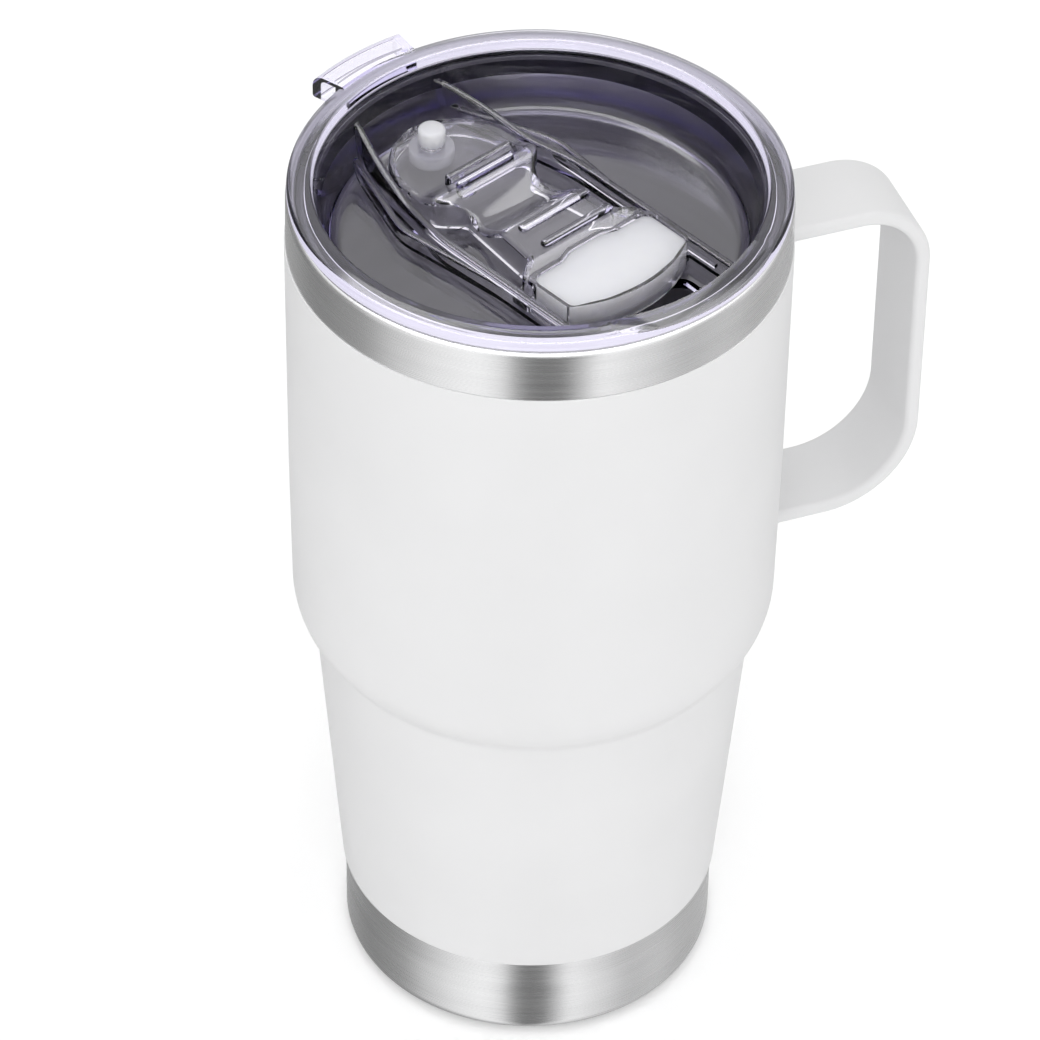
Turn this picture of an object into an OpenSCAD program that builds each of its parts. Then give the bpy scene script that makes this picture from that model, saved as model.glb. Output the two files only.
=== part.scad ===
// Insulated tumbler with a handle and a press-in sliding lid.
// Origin: centre of the flat base. +Z runs up the cup's axis and +X points to the handle.

/* [Cup] */
// Height of the cup at its steel lip
cup_height = 171; // [160:1:190]
// Outer radius of the straight foot
foot_radius = 34.2; // [33:0.1:35]
// Outer radius where the lower cone meets the shoulder
crease_radius = 39.4; // [38.5:0.1:40.5]
// Outer radius where the shoulder meets the upper wall
shoulder_radius = 43.1; // [42.6:0.1:43.4]
// Outer radius of the upper wall under the bare top band
wall_radius = 43.7; // [43.6:0.1:44]
// Outer radius of the rolled lip
lip_radius = 43.4; // [43.2:0.1:43.6]
// Inner radius of the cup's mouth
mouth_radius = 40.9; // [40.7:0.1:41]
// Thickness of the steel sheet in the outer shell
shell_wall = 0.6; // [0.4:0.1:0.8]
// Thickness of the steel sheet in the inner liner
liner_wall = 0.5; // [0.4:0.1:0.6]
// Height of the liner's floor above the base
liner_floor = 9; // [8:0.5:12]

/* [Coating] */
// Thickness of the powder coat
coat_wall = 0.2; // [0.12:0.01:0.25]
// Height of the bare steel band at the foot
bare_foot = 18.3; // [14:0.1:25]
// Height of the bare steel band under the lip
bare_top = 9.8; // [6:0.1:12]

/* [Handle] */
// Distance from the cup's axis to the outer face of the grip
handle_reach = 70.35; // [64:0.05:80]
// Width of the handle strap
strap_width = 16.8; // [14:0.1:20]
// Thickness of the handle strap
strap_thick = 2.8; // [2.4:0.1:3.4]
// Height of the underside of the lower arm
handle_low = 89.2; // [88:0.1:96]
// Height of the top of the upper arm
handle_top = 156.9; // [140:0.1:159]
// Outer radius of the upper bend
upper_bend = 13.5; // [8:0.5:16]
// Outer radius of the lower bend
lower_bend = 17.5; // [8:0.5:20]

/* [Lid] */
// Turn of the lid's drinking end away from the handle, in degrees
lid_turn = -67.3; // [-180:0.1:180]
// Outer radius of the lid's flange
flange_radius = 43.2; // [42.8:0.1:43.6]
// Thickness of the lid's flange
flange_thick = 2.5; // [2:0.1:3]
// Depth of the lid's well under the top of the flange
well_depth = 12.8; // [12:0.1:14]
// Radius of the well's floor
well_floor_radius = 35.5; // [35:0.1:36]
// Radius of the well at the top of the flange
well_top_radius = 39; // [38.6:0.1:39.2]
// Reach of the pull tab beyond the flange
tab_reach = 5.4; // [3:0.1:8]

/* [Slider] */
// Travel of the slider from open to closed
slider_travel = 8; // [6:0.5:8]
// Clearance between the slider and the lid
slider_gap = 0.3; // [0.2:0.05:0.4]
// Width of the slider at its base flange
slider_width = 29.5; // [29:0.1:29.6]

/* [Hidden] */
$fn = 96;
arc_steps = 5;
far = 200;

// Heights and radii of the cup's outline
foot_corner = 2.8;
foot_top = 12.5;
crease_height = 77.2;
shoulder_slope = 0.75;
shoulder_bend = 11;
crease_bend = 4;
waist_radius = shoulder_radius + 0.4;
waist_height = 112;
coat_top = cup_height - bare_top;
lip_bend = 1.2;
lip_depth = 1.8;

// How far the weld lies inside the strap's outline
weld_inset = 0.3;

// Bottom pieces
ring_radius = 28.4;
dimple_radius = 5;
dimple_rise = 1.5;
base_wall = 0.6;
cap_wall = 0.55;

// Liner outline
neck_radius = mouth_radius - 0.5;
neck_height = 156;
liner_shoulder = 88;
liner_crease = 74;
liner_crease_radius = 36.6;
liner_foot_radius = 31.7;
liner_corner = 6;
liner_crease_bend = 6;
liner_shoulder_bend = 10;
liner_shoulder_step = 0.3;
neck_flare = 1.5;

// Getter and its clip, under the liner's floor
getter_place = 14;
getter_radius = 4;
getter_thick = 1.6;
getter_drop = 3;
clip_width = 5;
copper_start = 20;

// Lid heights, in the cup's frame
lid_gap = 0.3;
flange_low = cup_height + lid_gap;
flange_top = flange_low + flange_thick;
well_floor = flange_top - well_depth;
lid_floor_wall = 2;
lid_bottom = well_floor - lid_floor_wall;
skirt_radius = 39.9;
gasket_low = flange_low - 4.4;
gasket_high = flange_low - 1.5;
groove_radius = 38.5;
rail_inside = slider_width / 2 + 0.35;
rail_wall = 1.5;
rail_top = well_floor + 4;
rail_rise = 4.5;
brace_wall = 1.35;
brace_top = well_floor + 3;

// Rear of the channel walls and of their braces in plan: [u, v of the inner face, bend]
rail_line = [[-40, 7.5, 0], [-27, 11.6, 20], [-8, rail_inside, 30], [far, rail_inside, 0]];
brace_line = [[-40, 9, 0], [-33.5, 11.2, 8], [-14.8, 17.7, 12], [8, rail_inside + 0.05, 0]];

// Flange, tab and well
tab_half_angle = 11.4;
flange_dome = 0.7;
cup_clear_radius = 44.2;
well_corner = 3;

// Slider heights, in the cup's frame
slider_low = well_floor + slider_gap;
flange_lift = 1.5;
slider_top = slider_low + 5.7;
rear_top = slider_low + 4.3;
front_top = slider_low + 4.9;
slider_skin = 1.3;
rear_centre = -20.6;
rear_radius = 12.2;
front_reach = 26.3;
front_bend = 25;
plug_place = -27.5;
seal_rear = 12.5;
seal_half = 13.2;
seal_wall = 0.7;
seal_gap = 0.05;
seal_foot = 1.6;
plug_neck = 2;
seal_grip = 0.3;
seal_rim = 1.2;
seal_rim_rise = 0.45;
hole_rear = 23.4;
hole_front = 31;
hole_half = 11;

// Unit vector along v
function unit(v) = v / norm(v);

// Vector v turned by angle a
function turned(v, a) = [v.x * cos(a) - v.y * sin(a), v.x * sin(a) + v.y * cos(a)];

// Arc that rounds the corner b between a and c with radius r
function corner_arc(a, b, c, r) =
    let (
        to_a = unit(a - b),
        to_c = unit(c - b),
        half = acos(to_a * to_c) / 2,
        centre = b + unit(to_a + to_c) * (r / sin(half)),
        start = b + to_a * (r / tan(half)) - centre,
        side = to_a.x * to_c.y - to_a.y * to_c.x > 0 ? -1 : 1
    )
    [for (i = [0 : arc_steps]) centre + turned(start, side * (180 - 2 * half) * i / arc_steps)];

// Outline through corners [x, y, r], each rounded with its own radius r
function rounded(corners) =
    let (n = len(corners))
    [
        for (i = [0 : n - 1])
            let (
                a = corners[(i + n - 1) % n],
                b = corners[i],
                c = corners[(i + 1) % n]
            )
            each b.z > 0
                ? corner_arc([a.x, a.y], [b.x, b.y], [c.x, c.y], b.z)
                : [[b.x, b.y]]
    ];

// Corners of the cup's outer wall, moved inwards by d
function wall_corners(d) =
    let (shoulder_height = crease_height + (shoulder_radius - crease_radius) / shoulder_slope)
    [
        [foot_radius - d, foot_top, 0],
        [crease_radius - d, crease_height, crease_bend + d],
        [shoulder_radius - d, shoulder_height, shoulder_bend - d],
        [waist_radius - d, waist_height, 0],
        [wall_radius - d, coat_top, 0]
    ];

// Corners of the cup's inner wall, moved outwards by d
function liner_corners(d) = [
    [0, liner_floor - d, 0],
    [liner_foot_radius + d, liner_floor - d, liner_corner + d],
    [liner_crease_radius + d, liner_crease, liner_crease_bend],
    [neck_radius - liner_shoulder_step + d, liner_shoulder, liner_shoulder_bend],
    [neck_radius + d, neck_height, 0],
    [mouth_radius + d, neck_height + neck_flare, 0]
];

// Solid inside of the cup's outer wall, moved inwards by d
module wall_solid(d) {
    corners = concat(
        [[0, 0, 0], [foot_radius - d, 0, 0]],
        wall_corners(d),
        [[0, coat_top, 0]]
    );
    rotate_extrude() polygon(rounded(corners));
}

module outer_shell() {
    top = cup_height - lip_depth;
    outside = concat(
        [[ring_radius, 0, 0], [foot_radius - coat_wall, 0, foot_corner]],
        wall_corners(coat_wall),
        [
            [lip_radius, top, 0],
            [lip_radius, cup_height, lip_bend],
            [mouth_radius, cup_height, lip_bend]
        ]
    );
    d = coat_wall + shell_wall;
    inside = wall_corners(d);
    back = concat(
        [[mouth_radius, top, 0], [mouth_radius + liner_wall, top, 0]],
        [[mouth_radius + liner_wall + 0.2, cup_height - shell_wall, 0.4]],
        [[lip_radius - shell_wall, cup_height - shell_wall, 0.4]],
        [[lip_radius - shell_wall, top, 0]],
        [for (i = [len(inside) - 1 : -1 : 0]) inside[i]],
        [[foot_radius - d, shell_wall, foot_corner - shell_wall], [ring_radius, shell_wall, 0]]
    );
    color("silver") rotate_extrude() polygon(rounded(concat(outside, back)));
}

module inner_liner() {
    top = cup_height - lip_depth;
    inside = liner_corners(0);
    outside = liner_corners(liner_wall);
    corners = concat(
        inside,
        [[mouth_radius, top, 0], [mouth_radius + liner_wall, top, 0]],
        [for (i = [len(outside) - 1 : -1 : 0]) outside[i]]
    );
    color("gainsboro") rotate_extrude() polygon(rounded(corners));
}

// Copper layer that wraps the liner up to its neck, left open under the middle of the floor
module copper_layer() {
    gap = 0.1;
    thick = 0.15;
    inner = liner_corners(liner_wall + gap);
    outer = liner_corners(liner_wall + gap + thick);
    last = 4;
    corners = concat(
        [[copper_start, inner[0].y, 0]],
        [for (i = [1 : last]) inner[i]],
        [for (i = [last : -1 : 1]) outer[i]],
        [[copper_start, outer[0].y, 0]]
    );
    color("peru") rotate_extrude() polygon(rounded(corners));
}

// Dished disc welded on the shell's bottom ring, with the pump-out hole in its dimple
module outer_base() {
    low = shell_wall;
    rise = low + dimple_rise;
    hole = 0.8;
    corners = [
        [hole, rise, 0], [dimple_radius - 1.4, rise, 0.5], [dimple_radius, low, 0.5],
        [ring_radius + 1.2, low, 0], [ring_radius + 1.2, low + base_wall, 0],
        [dimple_radius + 0.4, low + base_wall, 0.5],
        [dimple_radius - 1, rise + base_wall, 0.5], [hole, rise + base_wall, 0]
    ];
    color("silver") rotate_extrude() polygon(rounded(corners));
}

// Flat disc that hides the dimple and makes the face the tumbler stands on
module base_cap() {
    groove_inner = 22;
    groove_width = 0.8;
    groove_depth = 0.2;
    color("silver") rotate_extrude() difference() {
        square([ring_radius - 0.1, cap_wall]);
        translate([groove_inner, -1]) square([groove_width, 1 + groove_depth]);
    }
}

// Bead that closes the pump-out hole from below
module solder_seal() {
    rise = shell_wall + dimple_rise;
    color("dimgray") union() {
        translate([0, 0, rise - 0.7]) cylinder(r = 2, h = 0.7);
        translate([0, 0, rise - 0.1]) cylinder(r = 0.75, h = base_wall + 0.3);
    }
}

// Gas-absorbing pill held under the liner, inside the vacuum
module getter() {
    low = liner_floor - liner_wall - getter_drop;
    color("slategray") translate([0, getter_place, low])
        cylinder(r = getter_radius, h = getter_thick);
}

// Spring-steel strap that holds the getter up against the liner's bottom
module getter_clip() {
    top = liner_floor - liner_wall;
    strip = 0.3;
    low = top - getter_drop - strip;
    half = getter_radius + 1;
    foot = 3;
    corners = [
        [-half - foot, top], [-half - foot, top - strip], [-half - strip, top - strip],
        [-half - strip, low], [half + strip, low], [half + strip, top - strip],
        [half + foot, top - strip], [half + foot, top], [half, top],
        [half, low + strip], [-half, low + strip], [-half, top]
    ];
    color("lightsteelblue") translate([0, getter_place + clip_width / 2, 0])
        rotate([90, 0, 0]) linear_extrude(height = clip_width) polygon(corners);
}

module body_coat() {
    low = bare_foot;
    color("white") difference() {
        intersection() {
            wall_solid(0);
            translate([0, 0, low]) cylinder(r = far, h = coat_top - low);
        }
        wall_solid(coat_wall);
        bent_strap(0);
    }
}

// Cross-section of the strap, moved inwards by d: x is across its thickness
module strap_section(d) {
    edge = 1 - d;
    half = strap_width / 2 - d;
    corners = [
        [d, -half, edge], [strap_thick - d, -half, edge],
        [strap_thick - d, half, edge], [d, half, edge]
    ];
    polygon(rounded(corners));
}

// Quarter bend of the strap with outer radius r, from +X round to +Z
module strap_bend(r, d) {
    rotate([90, 0, 0]) rotate_extrude(angle = 90)
        translate([r - strap_thick, 0]) strap_section(d);
}

// The whole bent strap, moved inwards by d, running in past the cup's wall
module bent_strap(d) {
    arm_start = 38;
    upper_x = handle_reach - upper_bend;
    lower_x = handle_reach - lower_bend;
    grip_low = handle_low + lower_bend;
    grip_high = handle_top - upper_bend;
    translate([arm_start, 0, handle_top])
        rotate([0, 90, 0]) linear_extrude(height = upper_x - arm_start) strap_section(d);
    translate([arm_start, 0, handle_low + strap_thick])
        rotate([0, 90, 0]) linear_extrude(height = lower_x - arm_start) strap_section(d);
    translate([handle_reach - strap_thick, 0, grip_low])
        linear_extrude(height = grip_high - grip_low) strap_section(d);
    translate([upper_x, 0, grip_high]) strap_bend(upper_bend, d);
    translate([lower_x, 0, grip_low]) mirror([0, 0, 1]) strap_bend(lower_bend, d);
}

module handle_strap() {
    color("white") difference() {
        bent_strap(0);
        wall_solid(0);
    }
}

// Fused metal between the ends of the two arms and the shell
module handle_welds() {
    color("darkgray") difference() {
        intersection() {
            bent_strap(weld_inset);
            wall_solid(0);
        }
        wall_solid(coat_wall);
    }
}

// Flange, skirt, gasket groove, well wall and floor as one turned profile
module lid_bowl() {
    bottom_radius = 37.6;
    corners = [
        [0, lid_bottom, 0],
        [bottom_radius, lid_bottom, 1],
        [skirt_radius - 0.6, gasket_low - 0.8, 0.5],
        [skirt_radius - 0.3, gasket_low, 0],
        [groove_radius, gasket_low, 0],
        [groove_radius, gasket_high, 0],
        [skirt_radius, gasket_high, 0],
        [skirt_radius, flange_low, 0.4],
        [flange_radius, flange_low, 0.5],
        [flange_radius, flange_top - flange_dome, 1.1],
        [well_top_radius + 1.5, flange_top, 3],
        [well_top_radius, flange_top, 0.6],
        [well_floor_radius, well_floor, well_corner],
        [0, well_floor, 0]
    ];
    rotate_extrude() polygon(rounded(corners));
}

// Solid that fills the well, used to trim what stands in it
module well_space() {
    skin = 0.2;
    corners = [
        [0, well_floor - skin], [well_floor_radius + skin, well_floor - skin],
        [well_top_radius + skin, flange_top], [0, flange_top]
    ];
    rotate_extrude() polygon(corners);
}

// Plan of an upright wall whose inner face follows a line
function wall_plan(line, wall) = rounded(concat(
    line,
    [for (i = [len(line) - 1 : -1 : 0]) [line[i].x, line[i].y + wall, line[i].z]]
));

// Channel wall on the side v > 0, raised at its rear end
module rail_wall_solid() {
    low = well_floor - 0.2;
    rise_start = -19;
    rise_end = -36;
    side = [
        [far, low], [far, rail_top], [rise_start, rail_top],
        [rise_end, rail_top + rail_rise], [-far, rail_top + rail_rise], [-far, low]
    ];
    intersection() {
        translate([0, 0, low]) linear_extrude(height = rail_top + rail_rise - low)
            polygon(wall_plan(rail_line, rail_wall));
        translate([0, 2 * rail_inside, 0]) rotate([90, 0, 0])
            linear_extrude(height = 2 * rail_inside) polygon(side);
    }
}

// One channel wall with its retaining rib and the brace that bows out beside its rear
module rail() {
    low = well_floor - 0.2;
    rib_low = slider_low + flange_lift + 0.3;
    rib_start = -12;
    rib_length = 40;
    rib_reach = 0.7;
    rib_thick = 0.8;
    intersection() {
        union() {
            rail_wall_solid();
            translate([0, 0, low]) linear_extrude(height = brace_top - low)
                polygon(wall_plan(brace_line, brace_wall));
            translate([rib_start, rail_inside - rib_reach, rib_low])
                cube([rib_length, rib_reach + 0.1, rib_thick]);
        }
        well_space();
    }
}

// Down-turned tab opposite the drinking end, closed at both sides
module pull_tab() {
    reach = flange_radius + tab_reach;
    root = flange_radius - 1.7;
    lip_root = cup_clear_radius;
    wall = 1.3;
    drop = 4.8;
    side_angle = 1.6;
    cavity_half = tab_half_angle - side_angle;
    corners = [
        [root, flange_top - 0.4, 0], [root + 0.6, flange_top, 0], [reach, flange_top, 2.4],
        [reach, flange_top - drop, 0.5], [lip_root, flange_top - drop, 0],
        [lip_root, flange_low + 0.2, 0], [root, flange_low + 0.2, 0]
    ];
    cavity = [
        [lip_root - 2, flange_top - drop - 1], [reach - wall, flange_top - drop - 1],
        [reach - wall, flange_top - wall - 0.9], [reach - wall - 0.9, flange_top - wall],
        [lip_root - 0.1, flange_top - wall], [lip_root - 0.1, flange_low + 0.2],
        [lip_root - 2, flange_low]
    ];
    rotate([0, 0, 180]) difference() {
        rotate([0, 0, -tab_half_angle])
            rotate_extrude(angle = 2 * tab_half_angle) polygon(rounded(corners));
        rotate([0, 0, -cavity_half])
            rotate_extrude(angle = 2 * cavity_half) polygon(cavity);
    }
}

// Space above the sloping flat that lowers the flange where the lips rest
module drinking_slope() {
    start = 36;
    slope = 11.3;
    height = 10;
    translate([start, 0, flange_top]) rotate([0, slope, 0])
        translate([0, -far / 2, 0]) cube([far, far, height]);
}

module mouth_hole() {
    corners = [
        [hole_rear, -hole_half, 3], [hole_front, -hole_half, 2.5],
        [hole_front, hole_half, 2.5], [hole_rear, hole_half, 3]
    ];
    translate([0, 0, lid_bottom - 1])
        linear_extrude(height = lid_floor_wall + 2) polygon(rounded(corners));
}

module lid_shell() {
    vent_radius = 1.5;
    color([0.85, 0.83, 0.94, 0.35]) rotate([0, 0, lid_turn]) difference() {
        union() {
            lid_bowl();
            rail();
            mirror([0, 1, 0]) rail();
            pull_tab();
        }
        drinking_slope();
        mouth_hole();
        translate([plug_place + slider_travel, 0, lid_bottom - 1])
            cylinder(r = vent_radius, h = lid_floor_wall + 2);
    }
}

// Silicone ring with two sealing fins, seated in the skirt's groove
module lid_gasket() {
    fin_radius = mouth_radius - 0.3;
    low = gasket_low + 0.1;
    high = gasket_high - 0.1;
    fin = 0.6;
    corners = [
        [groove_radius + 0.05, low], [skirt_radius - 0.4, low], [fin_radius, low + 0.3],
        [fin_radius, low + 0.3 + fin], [skirt_radius - 0.2, low + 1.1],
        [skirt_radius - 0.2, high - 1], [fin_radius, high - 0.2 - fin],
        [fin_radius, high - 0.2], [skirt_radius - 0.1, high], [groove_radius + 0.05, high]
    ];
    color([0.12, 0.11, 0.14]) rotate_extrude() polygon(corners);
}

// Plan outline of the slider: round rear, narrow waist, wide front
function slider_plan() =
    let (
        front_half = slider_width / 2 - 0.65,
        front_side = front_reach - 4,
        waist = 8.2,
        one_side = [
            [-13, rear_radius, 2.5], [-9, waist, 3], [7.5, 10.3, 2], [10.5, front_half, 1.5],
            [front_side, front_half, 1.5], [front_reach - 1.1, 7.5, 12]
        ],
        rear = [
            for (i = [0 : 12])
                let (a = -90 - 15 * i)
                [rear_centre + rear_radius * cos(a), rear_radius * sin(a), 0]
        ],
        right = [for (p = one_side) [p.x, -p.y, p.z]]
    )
    rounded(concat(
        rear,
        one_side,
        [[front_reach, 0, front_bend]],
        [for (i = [len(right) - 1 : -1 : 0]) right[i]]
    ));

// Side outline of the slider: flat rear, thumb scoop, raised middle, lower front
function slider_side() =
    let (
        rear_x = rear_centre - rear_radius - 1,
        scoop_rear = -12.6,
        scoop_front = 0.2,
        scoop_depth = 3.2,
        scoop = [
            for (i = [0 : 12])
                let (t = i / 12)
                [
                    scoop_rear + (scoop_front - scoop_rear) * t,
                    slider_top - scoop_depth * pow(sin(180 * t), 1.3)
                ]
        ]
    )
    concat(
        [[rear_x, slider_low], [rear_x, rear_top], [-18, rear_top], [-17, slider_top - 0.2]],
        scoop,
        [
            [9.4, slider_top], [10.6, front_top], [front_reach - 1.6, front_top],
            [front_reach - 0.6, front_top - 0.5], [front_reach + 1, slider_low + 2],
            [front_reach + 1, slider_low]
        ]
    );

// Outline of the opening for the mouth seal, grown by d: wavy rear, bowed front
function seal_plan(d) =
    let (
        front = front_reach - seal_wall + d,
        rear = seal_rear - d,
        half = seal_half + d,
        bow = 1.1,
        corner = 3.6,
        wave = 1.1,
        one_side = [[front - corner, half, 1.5], [front - bow, 7.2, 12]]
    )
    rounded([
        [rear, -half, 2],
        [one_side[0].x, -one_side[0].y, one_side[0].z],
        [one_side[1].x, -one_side[1].y, one_side[1].z],
        [front, 0, front_bend],
        one_side[1],
        one_side[0],
        [rear, half, 2],
        [rear, 6.5, 2], [rear - wave, 3.5, 2],
        [rear - wave, -3.5, 2], [rear, -6.5, 2]
    ]);

// Rounded bar across the slider at u, from v = start to v = end
module grip_bar(u, start, end, width, low, high) {
    tip = 0.6;
    side = width / 2;
    corners = [
        [u - side, start + side, tip], [u, start, tip], [u + side, start + side, tip],
        [u + side, end - side, tip], [u, end, tip], [u - side, end - side, tip]
    ];
    translate([0, 0, low]) linear_extrude(height = high - low) polygon(rounded(corners));
}

// Solid between the slider's plan and side outlines
module slider_block() {
    half = slider_width / 2;
    intersection() {
        translate([0, 0, slider_low]) linear_extrude(height = 10) polygon(slider_plan());
        translate([0, half, 0]) rotate([90, 0, 0])
            linear_extrude(height = 2 * half) polygon(slider_side());
    }
}

// Raised edge round the mouth seal
module seal_edge() {
    low = front_top - 1;
    intersection() {
        translate([0, 0, low]) linear_extrude(height = 1 + seal_rim_rise)
            polygon(slider_plan());
        translate([0, 0, low]) linear_extrude(height = 1 + seal_rim_rise)
            polygon(seal_plan(seal_rim));
    }
}

// Hollows under the slider's rear and middle
module slider_hollows() {
    low = slider_low - 1;
    start = -0.4;
    length = 9;
    half = 8.3;
    translate([rear_centre, 0, low])
        cylinder(r = rear_radius - slider_skin, h = rear_top - slider_skin - low);
    translate([start, -half, low]) cube([length, 2 * half, slider_top - slider_skin - low]);
}

// Ridges behind the thumb scoop and grips in front of it
module slider_bars() {
    ridge_width = 1.5;
    grip_width = 1.9;
    bar_top = slider_top + 0.9;
    ridge_low = rear_top - 0.5;
    grip_low = slider_top - 0.2;
    grip_bar(-16.6, -6.5, 8.5, ridge_width, ridge_low, bar_top);
    grip_bar(-13.8, -6.5, 6.5, ridge_width, ridge_low, bar_top);
    grip_bar(1.9, -6.5, 9.6, grip_width, grip_low, bar_top);
    grip_bar(7.5, -6.5, 9.6, grip_width, grip_low, bar_top);
}

module slider() {
    half = slider_width / 2;
    foot_rear = 9.5;
    foot_length = 12.5;
    low = slider_low - 1;
    through = 10;
    color([0.9, 0.89, 0.96, 0.4]) rotate([0, 0, lid_turn]) difference() {
        union() {
            slider_block();
            seal_edge();
            slider_bars();
            translate([foot_rear, -half, slider_low]) cube([foot_length, 2 * half, flange_lift]);
        }
        slider_hollows();
        translate([0, 0, low]) linear_extrude(height = through) polygon(seal_plan(0));
        translate([0, 0, low]) linear_extrude(height = seal_foot + 1.1)
            polygon(seal_plan(seal_grip + seal_gap));
        translate([plug_place, 0, low]) cylinder(r = plug_neck + 0.05, h = through);
    }
}

// Silicone pad that closes the mouth hole, clipped in the slider's front
module mouth_seal() {
    pad_height = front_top + 0.15 - slider_low;
    color("white") rotate([0, 0, lid_turn]) translate([0, 0, slider_low]) union() {
        linear_extrude(height = pad_height) polygon(seal_plan(-seal_gap));
        linear_extrude(height = seal_foot) polygon(seal_plan(seal_grip));
    }
}

// Silicone plug that closes the vent hole, pushed up through the slider's rear
module vent_plug() {
    foot = 4;
    knob = 2.4;
    flange_high = rear_top - slider_skin - 0.05;
    knob_low = rear_top + 0.05;
    knob_top = rear_top + 3.1;
    corners = [
        [0, slider_low, 0], [foot, slider_low, 0.6], [foot, flange_high, 0.4],
        [plug_neck, flange_high, 0], [plug_neck, knob_low, 0], [knob, knob_low, 0],
        [knob, knob_top, 0.5], [0, knob_top, 0]
    ];
    color("whitesmoke") rotate([0, 0, lid_turn]) translate([plug_place, 0, 0])
        rotate_extrude() polygon(rounded(corners));
}

outer_shell();
inner_liner();
outer_base();
base_cap();
solder_seal();
getter();
getter_clip();
copper_layer();
body_coat();
handle_strap();
handle_welds();
lid_shell();
lid_gasket();
slider();
mouth_seal();
vent_plug();
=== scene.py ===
"""Looks for an insulated tumbler: white powder coat, brushed steel bands and a clear sliding lid.

Lengths in the tables are millimetres in the CAD frame: origin at the base, +Z up, handle on +X.
The lid's own outlines use u along its drinking direction and v across it.
"""
import math

import bmesh
import bpy
from mathutils import Matrix, Vector


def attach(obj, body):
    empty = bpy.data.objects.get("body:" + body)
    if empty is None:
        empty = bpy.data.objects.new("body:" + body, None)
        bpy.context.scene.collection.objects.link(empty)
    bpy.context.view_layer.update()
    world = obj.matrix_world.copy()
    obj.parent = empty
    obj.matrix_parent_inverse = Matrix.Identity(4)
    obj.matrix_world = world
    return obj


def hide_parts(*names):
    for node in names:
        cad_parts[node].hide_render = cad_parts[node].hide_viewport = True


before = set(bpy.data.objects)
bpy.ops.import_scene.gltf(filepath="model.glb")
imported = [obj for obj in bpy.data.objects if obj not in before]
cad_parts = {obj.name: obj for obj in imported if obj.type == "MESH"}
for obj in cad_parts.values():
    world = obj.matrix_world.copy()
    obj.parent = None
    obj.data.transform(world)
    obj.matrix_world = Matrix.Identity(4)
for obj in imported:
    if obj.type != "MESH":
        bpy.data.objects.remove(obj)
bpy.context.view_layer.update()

MM = 0.001
SPIN_STEPS = 224
ARC_STEPS = 10

# Cup outline: pairs are (radius, height)
COAT = 0.2
COAT_EDGE = 0.08
SHELL_WALL = 0.6
FOOT = (34.2, 12.5)
FOOT_CORNER = 2.8
FOOT_BEND = 30
CREASE = (39.4, 77.2)
CREASE_BEND = 4
SHOULDER = (43.1, 82.13)
SHOULDER_BEND = 11
WAIST = (43.5, 112.0)
COAT_LOW = 18.3
COAT_TOP = (43.7, 161.2)
LIP_RADIUS = 43.4
LIP_BEND = 1.2
LIP_DEPTH = 1.8
MOUTH_RADIUS = 40.9
CUP_HEIGHT = 171.0
RING_RADIUS = 28.4

# Liner outline
LINER_WALL = 0.5
LINER_FOOT = (31.7, 9)
LINER_CREASE = (36.6, 74)
LINER_SHOULDER = (40.1, 88)
LINER_NECK = (40.4, 156)
LINER_MOUTH = 157.5

# Handle strap
STRAP_WIDTH = 16.8
STRAP_THICK = 2.8
HANDLE_REACH = 70.35
HANDLE_LOW = 89.2
HANDLE_TOP = 156.9
UPPER_BEND = 13.5
LOWER_BEND = 17.5
LOWER_ROOT = 42.9
UPPER_ROOT = 43.3
WELD_LENGTH = 1.2
WELD_FLARE = 0.5

# Lid
LID_TURN = math.radians(-67.3)
FLANGE_LOW = 171.3
FLANGE_TOP = 173.8
FLANGE_RADIUS = 43.2
WELL_FLOOR = 161.0
LID_BOTTOM = 159.0
LID_BOTTOM_RADIUS = 37.6
WELL_FLOOR_RADIUS = 35.5
WELL_TOP_RADIUS = 39.0
SKIRT_RADIUS = 39.9
FLANGE_DOME = 0.7
WELL_CORNER = 3.0
GASKET_LOW = FLANGE_LOW - 4.4
GASKET_HIGH = FLANGE_LOW - 1.5
GROOVE_RADIUS = 38.5
MOUTH_HOLE_REAR = 23.4
MOUTH_HOLE_FRONT = 31.0
MOUTH_HOLE_HALF = 11.0
VENT_RADIUS = 1.5

# Channel walls and their braces: lines of (u, v) and tops of (u, height), over the whole lid
LID_END = 42
RAIL_INSIDE = 15.1
RAIL_WALL = 1.5
RAIL_TOP = 165.0
RAIL_RAISED = 169.5
RAIL_LINE = [(-LID_END, 6.9), (-40, 7.5), (-27, 11.6), (-8, RAIL_INSIDE), (LID_END, RAIL_INSIDE)]
RAIL_TOPS = [(-LID_END, RAIL_RAISED), (-36, RAIL_RAISED), (-19, RAIL_TOP), (LID_END, RAIL_TOP)]
RIB_START = -12
RIB_END = 28
RIB_REACH = 0.7
RIB_LOW = 163.1
RIB_HIGH = 163.9
BRACE_WALL = 1.35
BRACE_TOP = 164.0
BRACE_LINE = [
    (-LID_END, 8.5), (-40, 9), (-33.5, 11.2), (-14.8, 17.7), (8, RAIL_INSIDE + 0.1),
    (LID_END, RAIL_INSIDE + 0.1),
]

# Pull tab
TAB_REACH = 5.4
TAB_DROP = 4.8
TAB_WALL = 1.3
TAB_HALF = math.radians(11.4)
CUP_CLEAR_RADIUS = 44.2

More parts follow.
